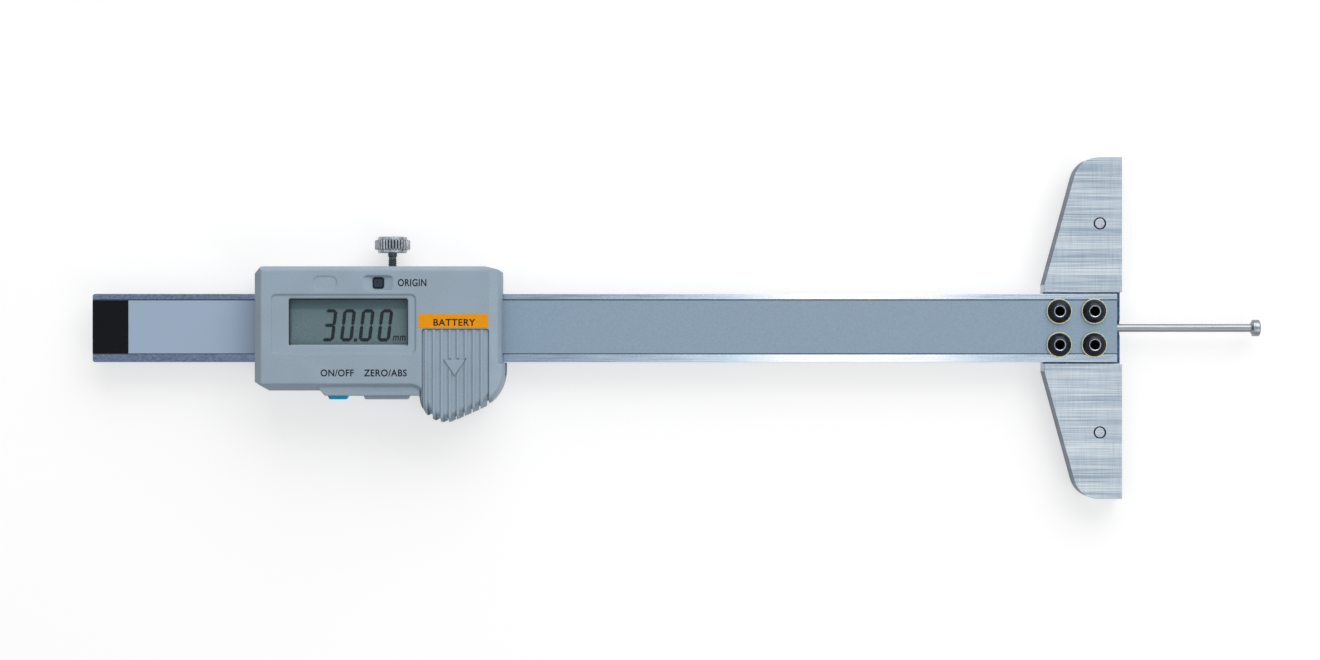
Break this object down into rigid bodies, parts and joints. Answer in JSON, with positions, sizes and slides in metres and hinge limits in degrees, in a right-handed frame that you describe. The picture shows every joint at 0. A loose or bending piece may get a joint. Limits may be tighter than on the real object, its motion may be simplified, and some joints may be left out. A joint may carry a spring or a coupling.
{
  "type": "digital depth gauge",
  "caption": "Digital depth gauge: flat beam with a winged measuring base, and a sliding display unit that carries a thin probe rod with a disc tip.",
  "frame": {"origin": "measuring face of the base, on the rod's axis", "axes": "+X along the rod, out of the measuring face; +Y along the base; +Z out of the display"},
  "size_m": [0.2739, 0.0802, 0.0168],
  "materials": {
    "beam_steel": "ground steel, satin",
    "scale_laminate": "fibre board with etched copper",
    "scale_film": "satin printed film",
    "label_black": "black label, bare",
    "base_steel": "ground steel with fine scratches",
    "black_oxide": "black oxide",
    "washer_plating": "zinc plating with a yellow tint",
    "ground_steel": "ground",
    "frame_steel": "ground steel",
    "brass": "plain brass",
    "board_green": "solder mask",
    "zinc_steel": "zinc plated",
    "chip_black": "moulded black",
    "contact_rubber": "silicone with carbon layers",
    "holder_plastic": "moulded white",
    "display_glass": "reflective display glass",
    "window_clear": "clear window",
    "case_plastic": "fine matt blue-grey moulding",
    "cell_steel": "nickel-plated cell",
    "contact_spring": "spring bronze",
    "label_orange": "orange printed strip",
    "rod_steel": "polished hardened steel",
    "knob_steel": "turned and knurled",
    "key_dark": "dark blue-black key",
    "key_blue": "blue key",
    "key_grey": "grey key"
  },
  "bodies": {
    "beam_and_base": {"main_beam": "beam_steel", "scale_strip": "scale_laminate", "scale_film": "scale_film", "end_label": "label_black", "measuring_base": "base_steel", "base_screws": "black_oxide", "base_washers": "washer_plating", "wing_pins": "ground_steel", "end_stop": "beam_steel", "end_stop_screws": "black_oxide"},
    "slider": {"slider_frame": "frame_steel", "gib_strip": "brass", "gib_screws": "black_oxide", "reading_head": "board_green", "circuit_board": "board_green", "board_screws": "zinc_steel", "processor_chip": "chip_black", "crystal": "zinc_steel", "zebra_strips": "contact_rubber", "lcd_holder": "holder_plastic", "lcd_glass": "display_glass", "lcd_window": "window_clear", "front_case": "case_plastic", "rear_case": "case_plastic", "case_screws": "zinc_steel", "origin_switch": "chip_black", "side_switches": "chip_black", "battery": "cell_steel", "battery_contact_plus": "contact_spring", "battery_contact_minus": "contact_spring", "battery_label": "label_orange", "rod_holder": "brass", "rod_holder_screws": "black_oxide", "measuring_rod": "rod_steel", "tip_disc": "rod_steel"},
    "clamp_shoe": {"clamp_shoe": "brass"},
    "clamp_screw": {"clamp_screw": "knob_steel"},
    "battery_door": {"battery_door": "case_plastic"},
    "origin_button": {"origin_button": "key_dark"},
    "on_off_button": {"on_off_button": "key_blue"},
    "zero_button": {"zero_button": "key_grey"}
  },
  "joints": [
    {"name": "slider_slide", "type": "slide", "parent": "beam_and_base", "child": "slider", "axis": [1, 0, 0], "range_m": [-0.0327, 0.1173]},
    {"name": "clamp_feed", "type": "slide", "parent": "slider", "child": "clamp_shoe", "axis": [0, 1, 0], "range_m": [0, 0.00045]},
    {"name": "clamp_turn", "type": "hinge", "parent": "clamp_shoe", "child": "clamp_screw", "pos_m": [-0.1711, 0, 0.00085], "axis": [0, 1, 0], "range_deg": [0, 360]},
    {"name": "battery_door_slide", "type": "slide", "parent": "slider", "child": "battery_door", "axis": [0, -1, 0], "range_m": [0, 0.022]},
    {"name": "origin_press", "type": "slide", "parent": "slider", "child": "origin_button", "axis": [0, 0, -1], "range_m": [0, 0.0004], "stiffness_N_per_m": 1200, "springref_m": -0.0002},
    {"name": "on_off_press", "type": "slide", "parent": "slider", "child": "on_off_button", "axis": [0, 1, 0], "range_m": [0, 0.0005], "stiffness_N_per_m": 1200, "springref_m": -0.0002},
    {"name": "zero_press", "type": "slide", "parent": "slider", "child": "zero_button", "axis": [0, 1, 0], "range_m": [0, 0.0005], "stiffness_N_per_m": 1200, "springref_m": -0.0002}
  ],
  "couplings": [
    {"joint": "clamp_turn", "follows": "clamp_feed", "rad_per_m": 13963}
  ]
}
